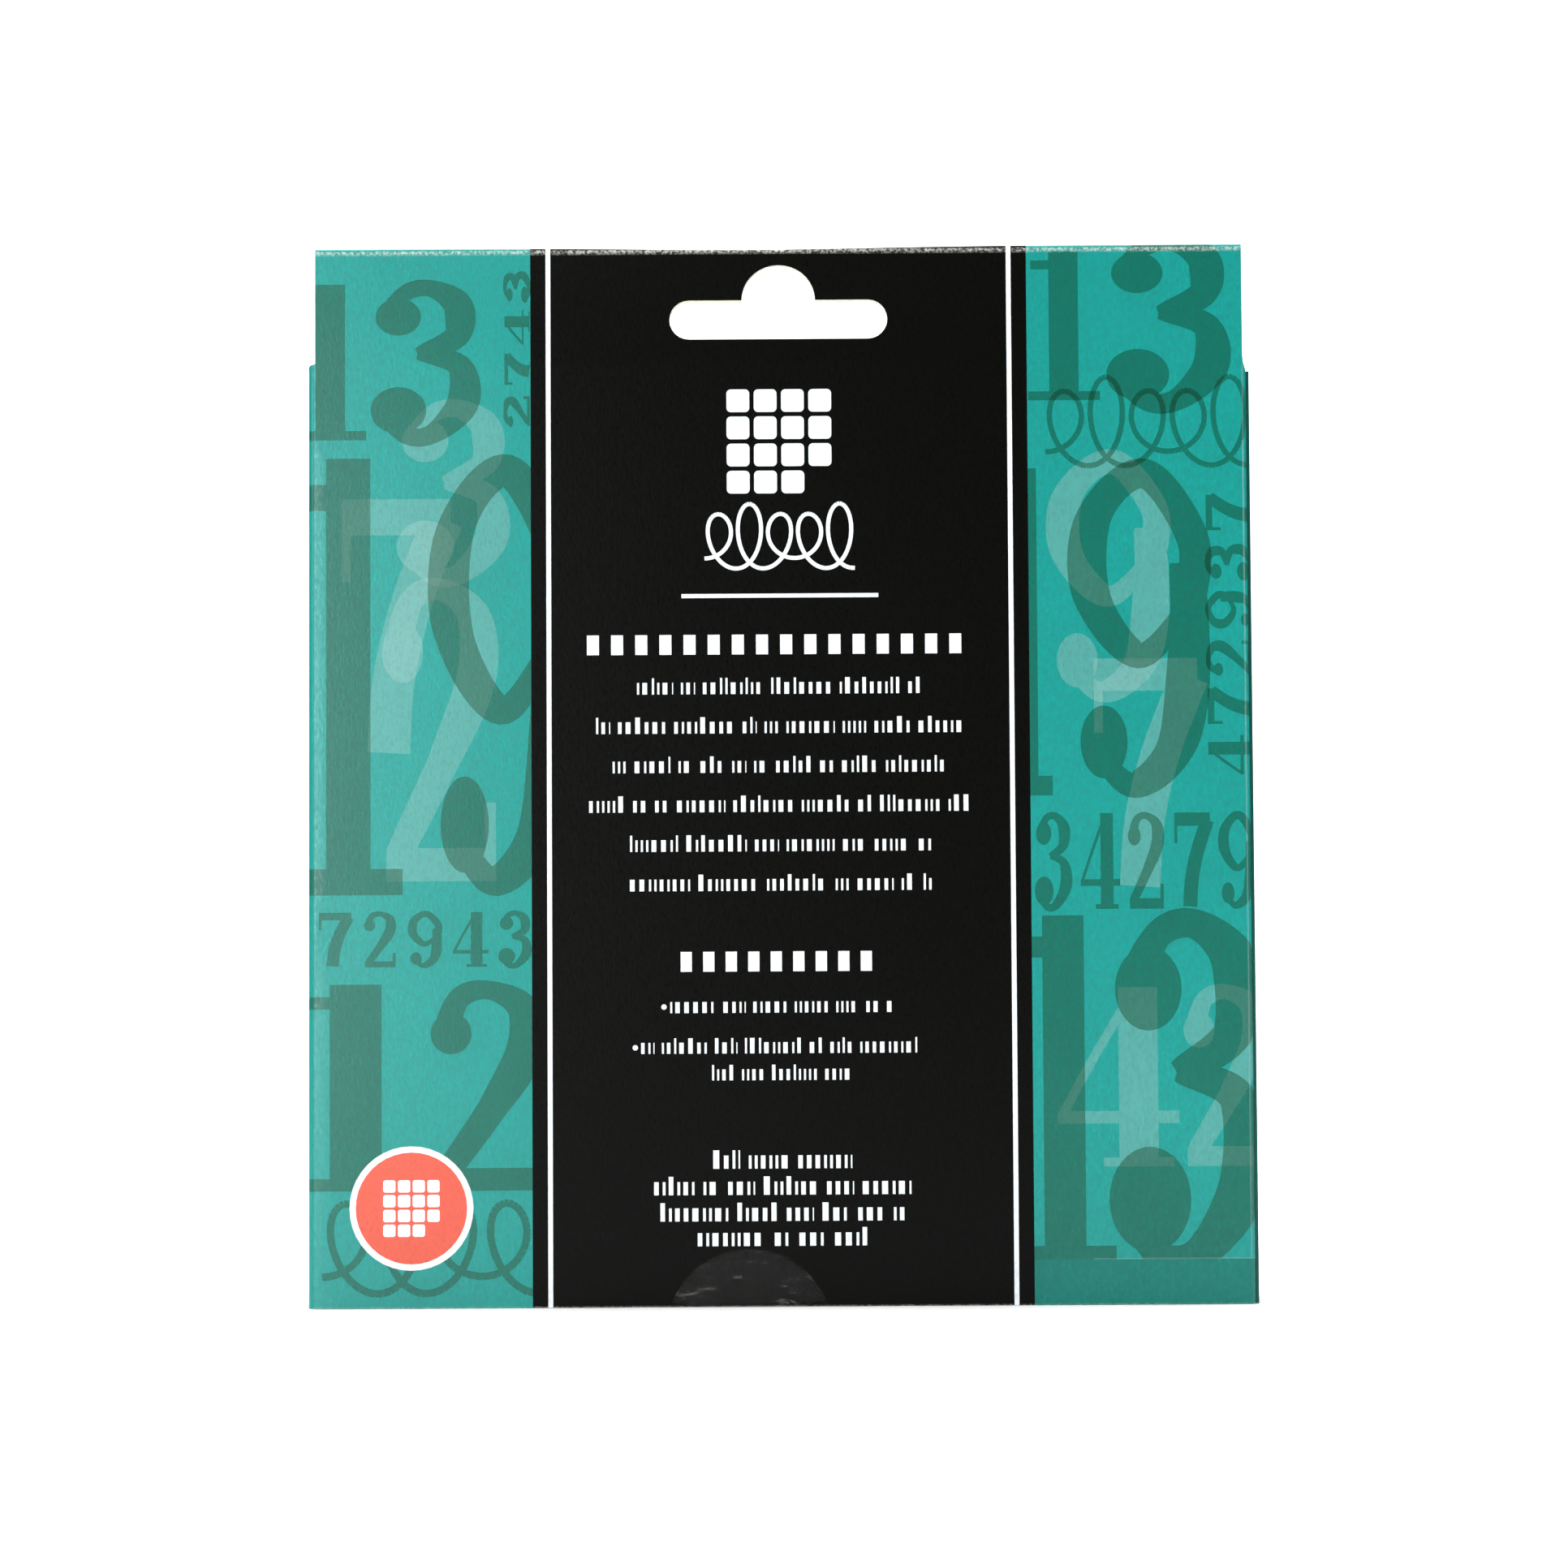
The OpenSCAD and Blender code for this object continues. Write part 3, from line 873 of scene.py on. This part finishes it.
seal_points, seal_faces = [seal_wrap(seal_x, seal_z)], []
for ring in range(1, RINGS + 1):
    for spoke in range(SPOKES):
        a = 2 * math.pi * spoke / SPOKES
        r = seal_r * ring / RINGS
        seal_points.append(seal_wrap(seal_x + r * math.cos(a), seal_z + r * math.sin(a)))
for spoke in range(SPOKES):
    beside = (spoke + 1) % SPOKES
    seal_faces.append((0, 1 + spoke, 1 + beside))
    for ring in range(RINGS - 1):
        a, b = 1 + ring * SPOKES, 1 + (ring + 1) * SPOKES
        seal_faces.append((a + spoke, b + spoke, b + beside, a + beside))
seal = new_object("seal_film", seal_points, seal_faces, [seal_finish()])
film = seal.modifiers.new("film", "SOLIDIFY")
film.thickness = 0.04 * MM
film.offset = -1
freeze(seal)
seal.data.shade_smooth()
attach(seal, "carton")
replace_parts(seal, "clear_seal")


# ---- Tile faces ----


def letter_loops(text):
    """The outlines of plain numerals, as closed lines about the middle."""
    curve = bpy.data.curves.new("numeral", "FONT")
    curve.body = text
    curve.fill_mode = "NONE"
    curve.align_x, curve.align_y = "CENTER", "CENTER"
    curve.size = 11
    curve.offset = 0.2
    holder = bpy.data.objects.new("numeral", curve)
    bpy.context.scene.collection.objects.link(holder)
    graph = bpy.context.evaluated_depsgraph_get()
    mesh = bpy.data.meshes.new_from_object(holder.evaluated_get(graph))
    after = {}
    for edge in mesh.edges:
        for a, b in (edge.vertices, reversed(edge.vertices)):
            after.setdefault(a, []).append(b)
    loops, seen = [], set()
    for start in after:
        if start in seen:
            continue
        loop, here, before = [], start, None
        while here not in seen:
            seen.add(here)
            loop.append(tuple(mesh.vertices[here].co.xy))
            here, before = next((n for n in after[here] if n != before), start), here
        loops.append(loop)
    bpy.data.objects.remove(holder)
    return loops


FACE_R, CHAMFER, ETCH = 1.6, 0.22, 0.16


def points_at(bm, shape, y):
    """The points of a flat shape at one depth."""
    return [bm.verts.new((x * MM, y * MM, z * MM)) for x, z in shape]


def etched_face(bm, inner, loops, top_y):
    """The flat of a tile with its numeral sunk into it and its walls."""
    verts = [Vector(p) for p in inner]
    sources = [list(range(len(inner)))]
    for loop in loops:
        sources.append(list(range(len(verts), len(verts) + len(loop))))
        verts.extend(Vector(p) for p in facing_left(loop))
    flat, _, tris, _, _, ids = delaunay_2d_cdt(verts, [], sources, 0, 1e-4, True)
    # A triangle inside an odd number of loops belongs to the numeral.
    cut = [len([i for i in owners if i > 0]) % 2 == 1 for owners in ids]
    top = points_at(bm, flat, top_y)
    deep = points_at(bm, flat, top_y - ETCH)
    sides = {}
    for tri, etched in zip(tris, cut):
        face = bm.faces.new([(deep if etched else top)[i] for i in tri[::-1]])
        face.material_index = int(etched)
        for a, b in zip(tri, tri[1:] + tri[:1]):
            sides.setdefault(frozenset((a, b)), []).append((a, b, etched))
    for pair in sides.values():
        if len(pair) == 2 and pair[0][2] != pair[1][2]:
            a, b = next((a, b) for a, b, etched in pair if etched)
            bm.faces.new((top[a], top[b], deep[b], deep[a])).material_index = 1


def tile_plate(number):
    """One metal tile face with a chamfer and an etched, enamelled numeral."""
    node = f"tile_{number:02d}_face"
    low, high = mm_box(node)
    mid_x, mid_z = (low.x + high.x) / 2, (low.z + high.z) / 2
    half = (high.x - low.x) / 2
    flat_half = half - CHAMFER
    rim = round_rect(mid_x - half, mid_z - half, mid_x + half, mid_z + half, FACE_R)
    inner = round_rect(
        mid_x - flat_half, mid_z - flat_half, mid_x + flat_half, mid_z + flat_half, FACE_R - CHAMFER
    )
    # The face is seen from the front, where +X lies to the left.
    loops = [[(mid_x - x, mid_z + z) for x, z in loop] for loop in letter_loops(str(number))]
    bm = bmesh.new()
    etched_face(bm, inner, loops, high.y)
    levels = ((inner, high.y), (rim, high.y - CHAMFER), (rim, low.y))
    rings = [points_at(bm, shape, y) for shape, y in levels]
    for above, below in zip(rings, rings[1:]):
        for i in range(len(rim)):
            k = (i + 1) % len(rim)
            bm.faces.new((above[i], above[k], below[k], below[i]))
    bm.faces.new(rings[-1])
    bmesh.ops.remove_doubles(bm, verts=bm.verts, dist=1e-6)
    bmesh.ops.delete(bm, geom=[v for v in bm.verts if not v.link_faces], context="VERTS")
    bmesh.ops.recalc_face_normals(bm, faces=bm.faces)
    mesh = bpy.data.meshes.new(f"tile_{number:02d}_plate")
    bm.to_mesh(mesh)
    bm.free()
    mesh.materials.append(finishes["tile_metal"])
    mesh.materials.append(finishes["numeral_enamel"])
    plate = bpy.data.objects.new(mesh.name, mesh)
    bpy.context.scene.collection.objects.link(plate)
    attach(plate, f"tile_{number:02d}")
    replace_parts(plate, node)


for number in range(1, 16):
    tile_plate(number)


# ---- Floor, backdrop, light and camera ----

floor_finish = plain_finish("floor_paper", (0.93, 0.93, 0.93), 0.9, scale=200, vary=0.01, bump=0.0)
curve_up = [(0.6 + 0.4 * math.sin(a), 0.4 - 0.4 * math.cos(a)) for a in np.linspace(0, math.pi / 2, 16)]
profile = [(-0.72, 0)] + curve_up + [(1.0, 1.4)]
sweep = [(x / MM, y / MM, z / MM) for x in (-0.8, 0.8) for y, z in profile]
wide = len(profile)
strips = [(i, wide + i, wide + i + 1, i + 1) for i in range(wide - 1)]
backdrop = new_object("backdrop", sweep, strips, [floor_finish])
backdrop.data.shade_smooth()

# The surroundings look white to the camera and light the pieces only faintly.
world = bpy.data.worlds.new("studio")
world.use_nodes = True
bpy.context.scene.world = world
nodes, links = world.node_tree.nodes, world.node_tree.links
background = nodes["Background"]
background.inputs["Color"].default_value = (1, 1, 1, 1)
seen = nodes.new("ShaderNodeLightPath")
strength = nodes.new("ShaderNodeMapRange")
links.new(seen.outputs["Is Camera Ray"], strength.inputs["Value"])
strength.inputs["To Min"].default_value = 0.07
strength.inputs["To Max"].default_value = 1.0
links.new(strength.outputs["Result"], background.inputs["Strength"])


def area_light(name, where, aim, size, power):
    data = bpy.data.lights.new(name, "AREA")
    data.shape = "RECTANGLE"
    data.size, data.size_y = size
    data.energy = power
    light = bpy.data.objects.new(name, data)
    light.location = where
    light.rotation_mode = "QUATERNION"
    light.rotation_quaternion = (Vector(aim) - Vector(where)).to_track_quat("-Z", "Y")
    bpy.context.scene.collection.objects.link(light)


MIDDLE = (0, 0, 0.075)
area_light("key_left", (-0.85, -0.6, 0.45), MIDDLE, (0.5, 0.5), 4.7)
area_light("key_right", (0.9, -0.6, 0.45), MIDDLE, (0.5, 0.5), 4.7)
area_light("sheen_left", (-0.26, -0.72, 0.13), (-0.05, 0, 0.09), (0.07, 0.3), 2.1)
area_light("top", (0, -0.1, 0.9), MIDDLE, (0.7, 0.4), 2.5)
area_light("over_fold", (-0.05, -0.03, 0.5), MIDDLE, (0.3, 0.08), 0.9)
area_light("behind", (0.3, 1.0, 0.7), MIDDLE, (0.8, 0.6), 2.4)
area_light("backdrop_wash", (0, 0.2, 1.3), (0, 0.9, 0.3), (1.4, 0.6), 26)

camera_data = bpy.data.cameras.new("camera")
camera = bpy.data.objects.new("camera", camera_data)
bpy.context.scene.collection.objects.link(camera)
bpy.context.scene.camera = camera
camera_data.sensor_width = 36
camera_data.lens = 94.4
# The camera stands low and looks slightly up at the back of the carton.
camera_data.clip_start, camera_data.clip_end = 0.01, 20
YAW, PITCH, ROLL = (math.radians(a) for a in (-0.10, 2.90, -0.33))
TARGET, DISTANCE = Vector((0.00045, -0.008, 0.0759)), 0.6
forward = Vector((math.sin(YAW) * math.cos(PITCH), math.cos(YAW) * math.cos(PITCH), math.sin(PITCH)))
level = Vector((math.cos(YAW), -math.sin(YAW), 0))
above = level.cross(forward)
right = math.cos(ROLL) * level + math.sin(ROLL) * above
up = math.cos(ROLL) * above - math.sin(ROLL) * level
turn = Matrix((right, up, -forward)).transposed()
camera.rotation_mode = "QUATERNION"
camera.rotation_quaternion = turn.to_quaternion()
camera.location = TARGET - DISTANCE * forward

bpy.context.scene.view_settings.view_transform = "Standard"
